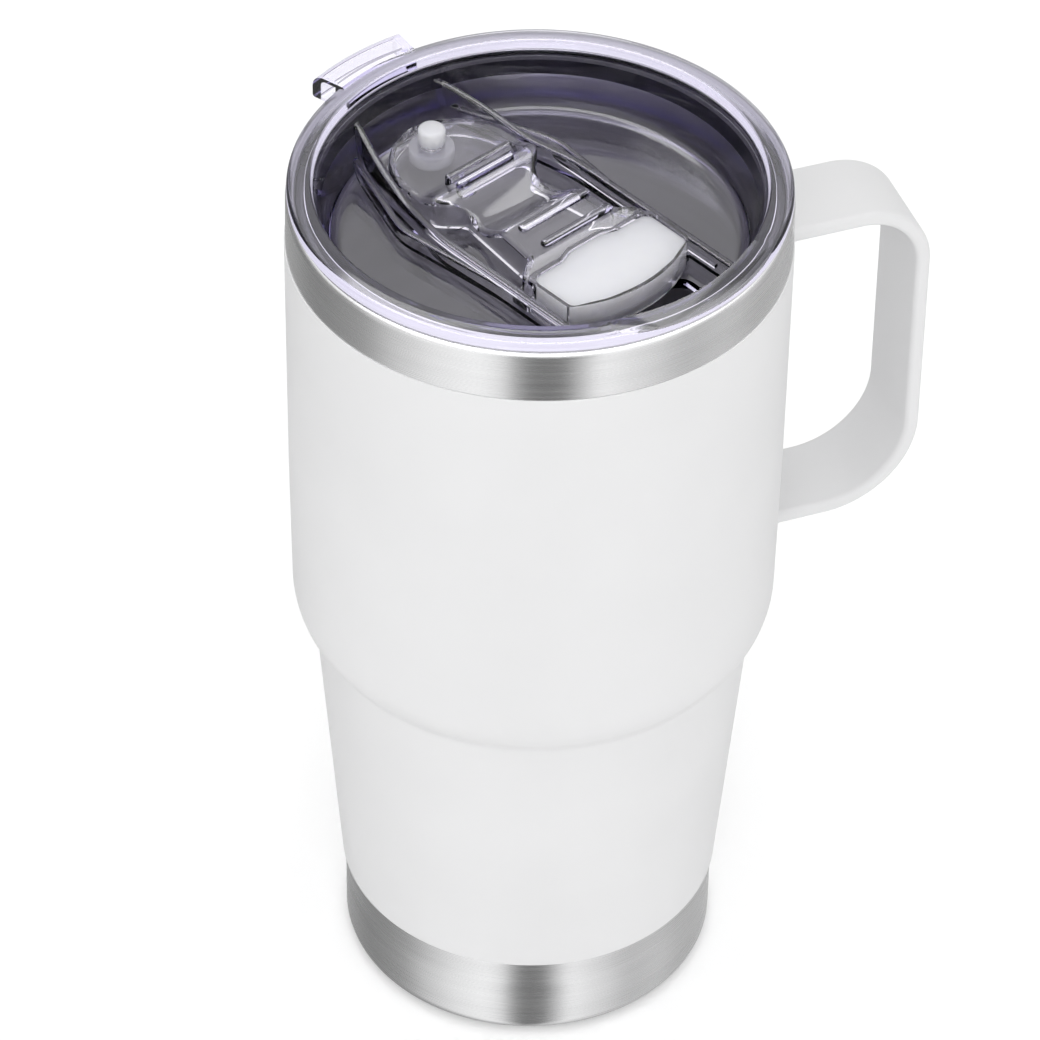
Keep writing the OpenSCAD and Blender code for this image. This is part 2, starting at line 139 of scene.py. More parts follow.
# Slider
SLIDER_LOW = 161.3
SLIDER_FOOT_HALF = 14.75
SLIDER_FOOT_REAR = 9.5
SLIDER_FOOT_FRONT = 22.0
SLIDER_FOOT_THICK = 1.5
SLIDER_SKIN = 1.3
REAR_CENTRE = -20.6
REAR_RADIUS = 12.2
FRONT_CENTRE = 1.3
FRONT_BEND = 25.0
FRONT_REACH = 26.3
REAR_TOP = 165.6
MIDDLE_TOP = 167.0
FRONT_TOP = 166.2
SCOOP_REAR = -12.6
SCOOP_FRONT = 0.2
SCOOP_DEPTH = 3.2
WAIST_CUT = 4.0
RIDGE_WIDTH = 1.5
GRIP_WIDTH = 1.9
BAR_START = -6.5
BAR_RISE = 0.9
PLUG_PLACE = -27.5
PLUG_FOOT = 4.0
PLUG_NECK = 2.0
PLUG_KNOB = 2.4
PLUG_RISE = 3.1
SEAL_REAR = 12.5
SEAL_HALF = 13.2
SEAL_WALL = 0.7
SEAL_SPREAD = 0.25
SEAL_GRIP = 0.3
SEAL_FOOT = 1.6
SEAL_RIM = 1.2
SEAL_RIM_RISE = 0.45
TRAVEL = 8.0
FIT = 0.05


# ---------------------------------------------------------------- outlines

def corner_arc(a, b, c, radius, steps):
    """Points of the arc that rounds the corner b between a and c."""
    a, b, c = Vector(a), Vector(b), Vector(c)
    to_a = (a - b).normalized()
    to_c = (c - b).normalized()
    half = to_a.angle(to_c) / 2
    centre = b + (to_a + to_c).normalized() * (radius / math.sin(half))
    start = b + to_a * (radius / math.tan(half)) - centre
    side = -1 if to_a.x * to_c.y - to_a.y * to_c.x > 0 else 1
    sweep = side * (math.pi - 2 * half)
    points = []
    for i in range(steps + 1):
        turn = sweep * i / steps
        x = start.x * math.cos(turn) - start.y * math.sin(turn)
        y = start.x * math.sin(turn) + start.y * math.cos(turn)
        points.append((centre.x + x, centre.y + y))
    return points


def rounded(corners, steps=ARC_STEPS):
    """Closed outline through corners (x, y, radius)."""
    outline = []
    for i, corner in enumerate(corners):
        before = corners[i - 1]
        after = corners[(i + 1) % len(corners)]
        if corner[2] > 0:
            outline += corner_arc(before[:2], corner[:2], after[:2], corner[2], steps)
        else:
            outline.append(tuple(corner[:2]))
    return outline


def wall_corners(inset):
    """Corners of the cup's outer wall from the foot to the top of the coat, moved inwards."""
    return [
        (FOOT[0] - inset, FOOT[1], FOOT_BEND),
        (CREASE[0] - inset, CREASE[1], CREASE_BEND + inset),
        (SHOULDER[0] - inset, SHOULDER[1], SHOULDER_BEND - inset),
        (WAIST[0] - inset, WAIST[1], 0),
        (COAT_TOP[0] - inset, COAT_TOP[1], 0),
    ]


# ---------------------------------------------------------------- meshes

def new_piece(name, vertices, faces, sharp=32):
    """Mesh object from vertices in millimetres, smooth except over sharp edges."""
    mesh = bpy.data.meshes.new(name)
    mesh.from_pydata([tuple(MM * x for x in v) for v in vertices], [], faces)
    piece = bpy.data.objects.new(name, mesh)
    bpy.context.scene.collection.objects.link(piece)
    tidy_mesh(piece, sharp)
    return piece


def tidy_mesh(piece, sharp=32):
    """Welds doubles, turns the faces outwards and smooths all but sharp edges."""
    work = bmesh.new()
    work.from_mesh(piece.data)
    bmesh.ops.remove_doubles(work, verts=work.verts, dist=1e-7)
    bmesh.ops.recalc_face_normals(work, faces=work.faces)
    work.to_mesh(piece.data)
    work.free()
    piece.data.shade_smooth()
    piece.data.set_sharp_from_angle(angle=math.radians(sharp))


def spin(name, outline, start=0.0, sweep=2 * math.pi, steps=SPIN_STEPS):
    """Turns a closed (radius, height) outline round the Z axis."""
    whole = abs(sweep - 2 * math.pi) < 1e-9
    rings = steps if whole else steps + 1
    count = len(outline)
    vertices = []
    for i in range(rings):
        angle = start + sweep * i / steps
        for radius, height in outline:
            vertices.append((radius * math.cos(angle), radius * math.sin(angle), height))
    faces = []
    for i in range(steps):
        here = i * count
        there = ((i + 1) % rings) * count
        for j in range(count):
            k = (j + 1) % count
            if outline[j][0] < 1e-9 and outline[k][0] < 1e-9:
                continue
            faces.append((here + j, there + j, there + k, here + k))
    if not whole:
        faces.append(tuple(range(count)))
        faces.append(tuple(reversed(range((rings - 1) * count, rings * count))))
    return new_piece(name, vertices, faces)


def loft(name, rings, sharp=32):
    """Skin over closed rings of equal length, with both ends capped."""
    count = len(rings[0])
    vertices = [point for ring in rings for point in ring]
    faces = []
    for i in range(len(rings) - 1):
        for j in range(count):
            k = (j + 1) % count
            a, b = i * count, (i + 1) * count
            faces.append((a + j, b + j, b + k, a + k))
    faces.append(tuple(range(count)))
    faces.append(tuple(reversed(range((len(rings) - 1) * count, len(rings) * count))))
    return new_piece(name, vertices, faces, sharp)


def prism(name, outline, low, high, bevel=0.0, steps=3):
    """Upright prism over an (x, y) outline, with its top edge rounded by insetting the outline."""
    rings = [[(x, y, low) for x, y in outline]]
    if bevel <= 0:
        rings.append([(x, y, high) for x, y in outline])
    else:
        for i in range(steps + 1):
            turn = math.pi / 2 * i / steps
            inset = bevel * (1 - math.cos(turn))
            height = high - bevel * (1 - math.sin(turn))
            rings.append([(x, y, height) for x, y in inset_outline(outline, inset)])
    return loft(name, rings)


def inset_outline(outline, inset):
    """The outline moved inwards along its own normals."""
    area = sum(
        a[0] * b[1] - b[0] * a[1] for a, b in zip(outline, outline[1:] + outline[:1])
    )
    side = 1 if area > 0 else -1
    moved = []
    for i, point in enumerate(outline):
        before = Vector(outline[i - 1])
        after = Vector(outline[(i + 1) % len(outline)])
        along = (after - before).normalized()
        moved.append((point[0] - side * along.y * inset, point[1] + side * along.x * inset))
    return moved


def combine(piece, tool, operation):
    """Applies an exact boolean to the piece and removes the tool."""
    modifier = piece.modifiers.new(operation.lower(), "BOOLEAN")
    modifier.operation = operation
    modifier.solver = "EXACT"
    modifier.object = tool
    bpy.context.view_layer.update()
    depsgraph = bpy.context.evaluated_depsgraph_get()
    result = bpy.data.meshes.new_from_object(piece.evaluated_get(depsgraph))
    piece.modifiers.clear()
    old = piece.data
    piece.data = result
    bpy.data.meshes.remove(old)
    bpy.data.objects.remove(tool)
    tidy_mesh(piece)


def turn_with_lid(piece):
    """Turns a piece made along +X so that it lies along the lid's drinking direction."""
    piece.data.transform(Matrix.Rotation(LID_TURN, 4, "Z"))


def place(piece, body, node, material):
    """Puts a finished piece on its body in the place of its CAD node."""
    piece.data.materials.clear()
    piece.data.materials.append(material)
    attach(piece, body)
    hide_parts(node)


# ---------------------------------------------------------------- materials

class Recipe:
    """A Principled material with helpers for its procedural nodes."""

    def __init__(self, name, colour, roughness, metallic=0.0):
        self.material = bpy.data.materials.new(name)
        self.material.use_nodes = True
        self.nodes = self.material.node_tree.nodes
        self.links = self.material.node_tree.links
        self.shader = self.nodes["Principled BSDF"]
        self.shader.inputs["Base Color"].default_value = (*colour, 1)
        self.shader.inputs["Roughness"].default_value = roughness
        self.shader.inputs["Metallic"].default_value = metallic
        self.place = self.nodes.new("ShaderNodeTexCoord")

    def set(self, **values):
        for name, value in values.items():
            self.shader.inputs[name.replace("_", " ")].default_value = value
        return self

    def noise(self, scale, detail=3.0, stretch=(1, 1, 1)):
        """Noise in object space; stretch multiplies the coordinates."""
        mapping = self.nodes.new("ShaderNodeMapping")
        mapping.inputs["Scale"].default_value = stretch
        texture = self.nodes.new("ShaderNodeTexNoise")
        texture.inputs["Scale"].default_value = scale
        texture.inputs["Detail"].default_value = detail
        self.links.new(self.place.outputs["Object"], mapping.inputs["Vector"])
        self.links.new(mapping.outputs["Vector"], texture.inputs["Vector"])
        return texture.outputs["Fac"]

    def range(self, value, low, high):
        """Maps a noise value onto low to high."""
        node = self.nodes.new("ShaderNodeMapRange")
        node.inputs["From Min"].default_value = 0.3
        node.inputs["From Max"].default_value = 0.7
        node.inputs["To Min"].default_value = low
        node.inputs["To Max"].default_value = high
        self.links.new(value, node.inputs["Value"])
        return node.outputs["Result"]

    def roughness(self, value, low, high):
        self.links.new(self.range(value, low, high), self.shader.inputs["Roughness"])
        return self

    def colours(self, value, dark, light):
        """Colour that varies between two close tones."""
        ramp = self.nodes.new("ShaderNodeValToRGB")
        ramp.color_ramp.elements[0].position = 0.3
        ramp.color_ramp.elements[0].color = (*dark, 1)
        ramp.color_ramp.elements[1].position = 0.7
        ramp.color_ramp.elements[1].color = (*light, 1)
        self.links.new(value, ramp.inputs["Fac"])
        self.links.new(ramp.outputs["Color"], self.shader.inputs["Base Color"])
        return self

    def bump(self, value, depth, strength=1.0):
        node = self.nodes.new("ShaderNodeBump")
        node.inputs["Strength"].default_value = strength
        node.inputs["Distance"].default_value = depth
        self.links.new(value, node.inputs["Height"])
        self.links.new(node.outputs["Normal"], self.shader.inputs["Normal"])
        return self

    def brushed_round_axis(self):
        """Brush lines that run round the Z axis."""
        tangent = self.nodes.new("ShaderNodeTangent")
        tangent.direction_type = "RADIAL"
        tangent.axis = "Z"
        self.links.new(tangent.outputs["Tangent"], self.shader.inputs["Tangent"])
        return self


def brushed_steel(name, colour, roughness, anisotropy):
    recipe = Recipe(name, colour, roughness, 1.0)
    lines = recipe.noise(1, 4, (40, 40, 5000))
    broad = recipe.noise(1, 2, (12, 12, 260))
    dark = tuple(0.93 * c for c in colour)
    recipe.set(Anisotropic=anisotropy, Anisotropic_Rotation=0.25).brushed_round_axis()
    recipe.roughness(lines, roughness - 0.04, roughness + 0.05)
    recipe.colours(broad, dark, colour)
    recipe.bump(lines, 0.00001, 0.25)
    return recipe.material


def powder_coat():
    recipe = Recipe("powder_coat", (0.69, 0.69, 0.695), 0.42)
    recipe.set(Specular_IOR_Level=0.18)
    grain = recipe.noise(1400, 2)
    cloud = recipe.noise(35, 2)
    recipe.roughness(cloud, 0.4, 0.46)
    recipe.colours(cloud, (0.68, 0.68, 0.685), (0.7, 0.7, 0.705))
    recipe.bump(grain, 0.00003, 0.25)
    return recipe.material


def clear_plastic(name, colour, density):
    recipe = Recipe(name, colour, 0.02)
    ripple = recipe.noise(90, 1.5)
    recipe.set(IOR=1.49, Transmission_Weight=1.0)
    recipe.roughness(recipe.noise(220, 2), 0.012, 0.03)
    recipe.bump(ripple, 0.00006, 0.2)
    absorb = recipe.nodes.new("ShaderNodeVolumeAbsorption")
    absorb.inputs["Color"].default_value = (0.54, 0.46, 0.92, 1)
    absorb.inputs["Density"].default_value = density
    output = recipe.nodes["Material Output"]
    recipe.links.new(absorb.outputs["Volume"], output.inputs["Volume"])
    return recipe.material


def silicone(name, dark, light, roughness, subsurface):
    recipe = Recipe(name, light, roughness)
    recipe.set(Subsurface_Weight=subsurface, Subsurface_Radius=(0.014, 0.0138, 0.0125))
    recipe.set(Subsurface_Scale=1.0)
    cloud = recipe.noise(160, 3)
    recipe.colours(cloud, dark, light)
    recipe.roughness(cloud, roughness - 0.04, roughness + 0.06)
    recipe.bump(recipe.noise(2600, 1), 0.00001, 0.2)
    return recipe.material


def dull_metal(name, dark, light, roughness, scale):
    recipe = Recipe(name, light, roughness, 1.0)
    grain = recipe.noise(scale, 4)
    recipe.colours(grain, dark, light)
    recipe.roughness(grain, roughness - 0.08, roughness + 0.1)
    recipe.bump(grain, 0.00003, 0.3)
    return recipe.material


STEEL = brushed_steel("brushed_steel", (0.66, 0.66, 0.665), 0.27, 0.8)
# The liner's steel is a brighter copy of the outer steel: painted light that stands in for the light
# reaching inside the covered cup.
LIT_LINER_STEEL = brushed_steel("liner_steel", (0.76, 0.75, 0.78), 0.34, 0.6)
WHITE_COAT = powder_coat()
CLEAR_LID = clear_plastic("clear_lid", (0.98, 0.975, 0.995), 65)
CLEAR_SLIDER = clear_plastic("clear_slider", (0.985, 0.98, 0.995), 45)
DARK_SILICONE = silicone("dark_silicone", (0.012, 0.011, 0.018), (0.03, 0.027, 0.045), 0.4, 0.0)
WHITE_SILICONE = silicone("white_silicone", (0.85, 0.855, 0.91), (0.88, 0.885, 0.94), 0.36, 1.0)
SOLDER = dull_metal("solder", (0.22, 0.22, 0.24), (0.36, 0.36, 0.38), 0.5, 900)
GETTER_METAL = dull_metal("getter_metal", (0.24, 0.26, 0.3), (0.42, 0.44, 0.48), 0.6, 1500)
COPPER = dull_metal("copper_film", (0.62, 0.3, 0.2), (0.8, 0.45, 0.3), 0.32, 120)


# ---------------------------------------------------------------- cup

def make_outer_shell():
    """Outer wall with its rolled lip and the flat ring that it stands on."""
    top = CUP_HEIGHT - LIP_DEPTH
    under = CUP_HEIGHT - SHELL_WALL
    inset = COAT + SHELL_WALL
    roll_bend = 0.4
    corners = [(RING_RADIUS, 0, 0), (FOOT[0] - COAT, 0, FOOT_CORNER)]
    corners += wall_corners(COAT)
    corners += [
        (LIP_RADIUS, top, 6), (LIP_RADIUS, CUP_HEIGHT, LIP_BEND),
        (MOUTH_RADIUS, CUP_HEIGHT, LIP_BEND), (MOUTH_RADIUS, top, 0),
        (MOUTH_RADIUS + 0.6, top, 0), (MOUTH_RADIUS + 0.7, under, roll_bend),
        (LIP_RADIUS - SHELL_WALL, under, roll_bend), (LIP_RADIUS - SHELL_WALL, top, 0),
    ]
    corners += reversed(wall_corners(inset))
    corners += [(FOOT[0] - inset, SHELL_WALL, FOOT_CORNER - 0.6), (RING_RADIUS, SHELL_WALL, 0)]
    place(spin("outer_shell_skin", rounded(corners)), "cup", "outer_shell", STEEL)


def make_body_coat():
    """Coat on the wall between the bare bands, with a small break at its two edges."""
    slope = (CREASE[0] - FOOT[0]) / (CREASE[1] - FOOT[1])
    low_radius = FOOT[0] + (COAT_LOW - FOOT[1]) * slope
    top_radius, top = COAT_TOP
    corners = [(low_radius - COAT, COAT_LOW, 0), (low_radius - COAT_EDGE, COAT_LOW, 0)]
    corners += [(low_radius, COAT_LOW + COAT_EDGE, 0)]
    corners += wall_corners(0)[1:4]
    corners += [(top_radius, top - COAT_EDGE, 0), (top_radius - COAT_EDGE, top, 0)]
    corners += [(top_radius - COAT, top, 0)]
    corners += reversed(wall_corners(COAT)[1:4])
    place(spin("powder_coat_skin", rounded(corners)), "cup", "body_coat", WHITE_COAT)


def liner_corners(outset):
    """Corners of the cup's inner wall from the floor's centre to its mouth, moved outwards."""
    floor = LINER_FOOT[1] - outset
    return [
        (0, floor, 0), (LINER_FOOT[0] + outset, floor, 6 + outset),
        (LINER_CREASE[0] + outset, LINER_CREASE[1], 6),
        (LINER_SHOULDER[0] + outset, LINER_SHOULDER[1], 10),
        (LINER_NECK[0] + outset, LINER_NECK[1], 0), (MOUTH_RADIUS + outset, LINER_MOUTH, 0),
    ]


def make_inner_liner():
    top = CUP_HEIGHT - LIP_DEPTH
    corners = liner_corners(0) + [(MOUTH_RADIUS, top, 0), (MOUTH_RADIUS + LINER_WALL, top, 0)]
    corners += reversed(liner_corners(LINER_WALL))
    piece = spin("liner_skin", rounded(corners))
    place(piece, "cup", "inner_liner", LIT_LINER_STEEL)


def strap_path():
    """Points (x, z) along the strap's outer face, from the lower arm's root to the upper's."""
    bend_steps = 28
    low_root, low_bend, top_bend, top_root = [
        (LOWER_ROOT, HANDLE_LOW), (HANDLE_REACH, HANDLE_LOW), (HANDLE_REACH, HANDLE_TOP),
        (UPPER_ROOT, HANDLE_TOP),
    ]
    path = [low_root]
    path += corner_arc(low_root, low_bend, top_bend, LOWER_BEND, bend_steps)
    path += corner_arc(low_bend, top_bend, top_root, UPPER_BEND, bend_steps)
    path.append(top_root)
    return [Vector(point) for point in path]


def make_handle_strap():
    """Strap bent twice, a little thicker where its ends are welded to the wall."""
    half = STRAP_WIDTH / 2
    middle = STRAP_THICK / 2
    section = rounded(
        [(0, -half, 1.0), (STRAP_THICK, -half, 1.0), (STRAP_THICK, half, 1.0), (0, half, 1.0)], 6
    )
    path = strap_path()
    weld = Vector((WELD_LENGTH, 0))
    path = [path[0], path[0] + weld] + path[1:-1] + [path[-1] + weld, path[-1]]
    rings = []
    for i, point in enumerate(path):
        before = path[max(i - 1, 0)]
        after = path[min(i + 1, len(path) - 1)]
        along = (after - before).normalized()
        inward = Vector((-along.y, along.x))
        flare = WELD_FLARE if i in (0, len(path) - 1) else 0.0
        ring = []
        for depth, across in section:
            grown_depth = (depth - middle) * (1 + flare / middle * 0.6) + middle
            spot = point + inward * grown_depth
            ring.append((spot.x, across * (1 + flare / half), spot.y))
        rings.append(ring)
    piece = loft("handle_strap_skin", rings)
    place(piece, "cup", "handle_strap", WHITE_COAT)


# ---------------------------------------------------------------- lid

def lid_bowl():
    """Flange, skirt, gasket groove, well wall and floor as one turned body."""
    corners = [
        (0, LID_BOTTOM, 0), (LID_BOTTOM_RADIUS, LID_BOTTOM, 1), (SKIRT_RADIUS - 0.6, GASKET_LOW - 0.8, 0.5),
        (SKIRT_RADIUS - 0.3, GASKET_LOW, 0), (GROOVE_RADIUS, GASKET_LOW, 0),
        (GROOVE_RADIUS, GASKET_HIGH, 0), (SKIRT_RADIUS, GASKET_HIGH, 0),
        (SKIRT_RADIUS, FLANGE_LOW, 0.4), (FLANGE_RADIUS, FLANGE_LOW, 0.5),
        (FLANGE_RADIUS, FLANGE_TOP - FLANGE_DOME, 1.1), (WELL_TOP_RADIUS + 1.5, FLANGE_TOP, 3),
        (WELL_TOP_RADIUS, FLANGE_TOP, 0.6), (WELL_FLOOR_RADIUS, WELL_FLOOR, WELL_CORNER),
        (0, WELL_FLOOR, 0),
    ]
    return spin("lid_skin", rounded(corners, 7))


def well_space():
    """Inside of the well, used to trim what stands in it."""
    skin = 0.2
    return spin("well_space", [
        (0, WELL_FLOOR - skin), (WELL_FLOOR_RADIUS + skin, WELL_FLOOR - skin),
        (WELL_TOP_RADIUS + skin, FLANGE_TOP), (0, FLANGE_TOP),
    ])


def track(points, u, window=2.5):
    """Value of a polyline at u, with its corners softened by averaging over a short window."""
    total = 0.0
    samples = [u + window * (i / 4 - 1) for i in range(9)]
    for x in samples:
        x = min(max(x, points[0][0]), points[-1][0])
        for (a, start), (b, end) in zip(points, points[1:]):
            if a <= x <= b:
                total += start + (end - start) * (x - a) / (b - a)
                break
    return total / len(samples)


def upright_strip(name, side, inner, wall, tops):
    """Wall across the lid along the line inner(u), its height following tops(u)."""
    low = WELL_FLOOR - 0.2
    edge = 0.45
    stations = 80
    quarter = [math.pi / 2 * k / 4 for k in range(5)]
    rings = []
    for i in range(stations + 1):
        u = LID_END * (2 * i / stations - 1)
        start = track(inner, u)
        shoulder = track(tops, u) - edge
        end = start + wall
        ring = [(start, low), (end, low)]
        ring += [(end - edge * (1 - math.cos(a)), shoulder + edge * math.sin(a)) for a in quarter]
        ring += [
            (start + edge * (1 - math.cos(a)), shoulder + edge * math.sin(a))
            for a in reversed(quarter)
        ]
        rings.append([(u, side * v, z) for v, z in ring])
    return loft(name, rings)


def rail(side):
    """Channel wall with its rib, raised rear end and outer brace, on the side +1 or -1."""
    wall = upright_strip("rail", side, RAIL_LINE, RAIL_WALL, RAIL_TOPS)
    flat = [(-LID_END, BRACE_TOP), (LID_END, BRACE_TOP)]
    brace = upright_strip("brace", side, BRACE_LINE, BRACE_WALL, flat)
    tip, root = side * (RAIL_INSIDE - RIB_REACH), side * (RAIL_INSIDE + 0.2)
    outline = [(RIB_START, tip), (RIB_END, tip), (RIB_END, root), (RIB_START, root)]
    rib = prism("rib", outline, RIB_LOW, RIB_HIGH)
    combine(wall, brace, "UNION")
    combine(wall, rib, "UNION")
    combine(wall, well_space(), "INTERSECT")
    return wall


def pull_tab():
    """Down-turned tab opposite the drinking end, closed at both sides."""
    root = FLANGE_RADIUS - 1.7
    reach = FLANGE_RADIUS + TAB_REACH
    low = FLANGE_TOP - TAB_DROP
    under = FLANGE_LOW + 0.2
    edge = CUP_CLEAR_RADIUS
    block = spin("tab", rounded([
        (root, FLANGE_TOP - 0.4, 0), (root + 0.6, FLANGE_TOP, 0), (reach, FLANGE_TOP, 2.4),
        (reach, low, 0.5), (edge, low, 0), (edge, under, 0), (root, under, 0),
    ], 6), math.pi - TAB_HALF, 2 * TAB_HALF, 24)
    half = TAB_HALF - math.radians(1.6)
    roof = FLANGE_TOP - TAB_WALL
    hollow = spin("hollow", rounded([
        (edge - 2, low - 1, 0), (reach - TAB_WALL, low - 1, 0), (reach - TAB_WALL, roof, 1.0),
        (edge - 0.1, roof, 0), (edge - 0.1, under, 0), (edge - 2, FLANGE_LOW, 0),
    ], 4), math.pi - half, 2 * half, 24)
    combine(block, hollow, "DIFFERENCE")
    return block


def drinking_slope():
    """Space above the sloping flat that lowers the flange where the lips rest."""
    start, end, slope, height = 36, 60, 0.2, 8
    low = FLANGE_TOP - (end - start) * slope
    high = FLANGE_TOP + height
    section = [(start, FLANGE_TOP), (end, low), (end, high), (start, high)]
    return loft("slope", [[(u, v, z) for u, z in section] for v in (-end, end)])


def mouth_hole():
    rear, front, half = MOUTH_HOLE_REAR, MOUTH_HOLE_FRONT, MOUTH_HOLE_HALF
    corners = [(rear, -half, 3), (front, -half, 2.5), (front, half, 2.5), (rear, half, 3)]
    return prism("hole", rounded(corners, 8), LID_BOTTOM - 1, WELL_FLOOR + 1)


def circle(u, radius, count):
    """Round outline of the given radius, centred on the lid's middle line at u."""
    turns = [2 * math.pi * i / count for i in range(count)]
    return [(u + radius * math.cos(a), radius * math.sin(a)) for a in turns]


def vent_hole():
    outline = circle(PLUG_PLACE + TRAVEL, VENT_RADIUS, 32)
    return prism("vent", outline, LID_BOTTOM - 1, WELL_FLOOR + 1)


def make_lid_shell():
    lid = lid_bowl()
    for tool in (rail(1), rail(-1), pull_tab()):
        combine(lid, tool, "UNION")
    for tool in (drinking_slope(), mouth_hole(), vent_hole()):
        combine(lid, tool, "DIFFERENCE")
    turn_with_lid(lid)
    place(lid, "lid", "lid_shell", CLEAR_LID)


def make_lid_gasket():
    """Gasket pressed against its groove, so that it shows dark through the clear wall."""
    bite = 0.03
    low, high = GASKET_LOW - bite, GASKET_HIGH + bite
    fin = MOUTH_RADIUS - 0.32
    corners = [
        (GROOVE_RADIUS - bite, low, 0), (SKIRT_RADIUS - 0.4, low, 0.1), (fin, low + 0.4, 0.15),
        (fin, low + 0.95, 0.15), (SKIRT_RADIUS - 0.2, low + 1.2, 0.1),
        (SKIRT_RADIUS - 0.2, high - 1.1, 0.1), (fin, high - 0.85, 0.15),
        (fin, high - 0.32, 0.15), (SKIRT_RADIUS - 0.1, high, 0.05),
        (GROOVE_RADIUS - bite, high, 0),
    ]
    piece = spin("gasket_skin", rounded(corners, 4))
    place(piece, "lid", "lid_gasket", DARK_SILICONE)


# ---------------------------------------------------------------- slider

def smooth(x, low, high):
    """Smooth step from 0 at low to 1 at high."""
    t = min(max((x - low) / (high - low), 0.0), 1.0)
    return t * t * (3 - 2 * t)


def slider_half_width(u):
    """Half the slider's width at u: round rear, narrow waist, wide front."""
    if u < REAR_CENTRE:
        return math.sqrt(max(REAR_RADIUS ** 2 - (u - REAR_CENTRE) ** 2, 0.0))
    width = REAR_RADIUS - WAIST_CUT * smooth(u, -14.5, -9.0)
    width += 2.1 * max(u + 9.0, 0.0) / 16.5 if u < 7.5 else 2.1
    width += 3.8 * smooth(u, 7.5, 11.0)
    front = math.sqrt(max(FRONT_BEND ** 2 - (u - FRONT_CENTRE) ** 2, 0.0))
    return min(width, front)


def slider_height(u):
    """Top of the slider along its middle: flat rear, thumb scoop, raised middle, lower front."""
    height = REAR_TOP + (MIDDLE_TOP - REAR_TOP) * smooth(u, -18, -13.5)
    if SCOOP_REAR < u < SCOOP_FRONT:
        along = (u - SCOOP_REAR) / (SCOOP_FRONT - SCOOP_REAR)
        height -= SCOOP_DEPTH * math.sin(math.pi * along) ** 1.3
    height -= (MIDDLE_TOP - FRONT_TOP) * smooth(u, 9.2, 10.8)
    height -= 0.6 * smooth(u, 25.4, 26.4)
    return height


def slider_stations():
    """Places along u at which the slider's section is taken, closer at its round ends."""
    count = 14
    step = 0.55
    front_start = 20.8
    front_sweep = math.radians(35)
    rear = [REAR_CENTRE - REAR_RADIUS * math.cos(math.pi / 2 * i / count) for i in range(count)]
    middle = [REAR_CENTRE + step * i for i in range(int((front_start - REAR_CENTRE) / step))]
    front = [
        FRONT_CENTRE + FRONT_BEND * math.cos(front_sweep * (1 - i / count))
        for i in range(count + 1)
    ]
    rear[0] += 0.05
    front[-1] -= 0.02
    return rear + middle + front


def slider_ring(u):
    """Closed section of the slider at u: an upturned U with rounded shoulders."""
    half = max(slider_half_width(u), 0.4)
    top = slider_height(u)
    shoulder = min(0.9, half * 0.45)
    hollow = min(smooth(u, -32.6, -31.0), 1 - smooth(u, 24.0, 25.2))
    skin = min(SLIDER_SKIN, half * 0.6)
    corner = 0.3
    roof = SLIDER_LOW + 0.02 + max(top - SLIDER_SKIN - SLIDER_LOW, 0.1) * hollow
    dish = 0.35 * smooth(u, -13, -10) * (1 - smooth(u, -2, 1))
    outer = [(half, SLIDER_LOW)]
    for i in range(6):
        turn = math.pi / 2 * i / 5
        outer.append((
            half - shoulder + shoulder * math.cos(turn), top - shoulder + shoulder * math.sin(turn)
        ))
    across = [(half - shoulder) * (1 - t / 8) for t in range(1, 9)]
    outer += [(v, top - dish * (1 - (v / half) ** 2)) for v in across]
    mirrored = [(-v, z) for v, z in reversed(outer[:-1])]
    side = half - skin
    inner = [
        (-side, SLIDER_LOW), (-side, roof - corner * hollow), (-side + corner, roof),
        (side - corner, roof), (side, roof - corner * hollow), (side, SLIDER_LOW),
    ]
    return [(u, v, z) for v, z in outer + mirrored + inner]


def seal_outline(grow):
    """Outline of the mouth seal: wavy rear edge and bowed front."""
    front = FRONT_REACH - SEAL_WALL + grow
    half = SEAL_HALF + grow
    rear = SEAL_REAR - grow
    wave = 1.1
    bow = front - 1.1
    corner = front - 3.6
    return rounded([
        (rear, -half, 2), (corner, -half, 1.5), (bow, -7.2, 12), (front, 0, FRONT_BEND),
        (bow, 7.2, 12), (corner, half, 1.5), (rear, half, 2), (rear, 6.5, 2),
        (rear - wave, 3.5, 2), (rear - wave, -3.5, 2), (rear, -6.5, 2),
    ], 7)


def grip_bar(name, u, end, width, low):
    """Rounded bar across the slider at u that ends at v = end and rises over its middle."""
    side = width / 2
    tip = width * 0.48
    high = MIDDLE_TOP + BAR_RISE
    outline = rounded([
        (u - side, BAR_START, tip), (u + side, BAR_START, tip),
        (u + side, end, tip), (u - side, end, tip),
    ], 6)
    return prism(name, outline, low, high, width * 0.4, 5)


def seal_edge():
    """Raised edge round the mouth seal, kept inside the slider's own outline."""
    low = FRONT_TOP - 1
    edge = prism("edge", seal_outline(SEAL_RIM), low, FRONT_TOP + SEAL_RIM_RISE, 0.35, 4)
    sides = [(u, slider_half_width(u)) for u in slider_stations()[1:-1]]
    plan = sides + [(u, -half) for u, half in reversed(sides)]
    combine(edge, prism("plan", plan, low - 1, FRONT_TOP + 2), "INTERSECT")
    return edge


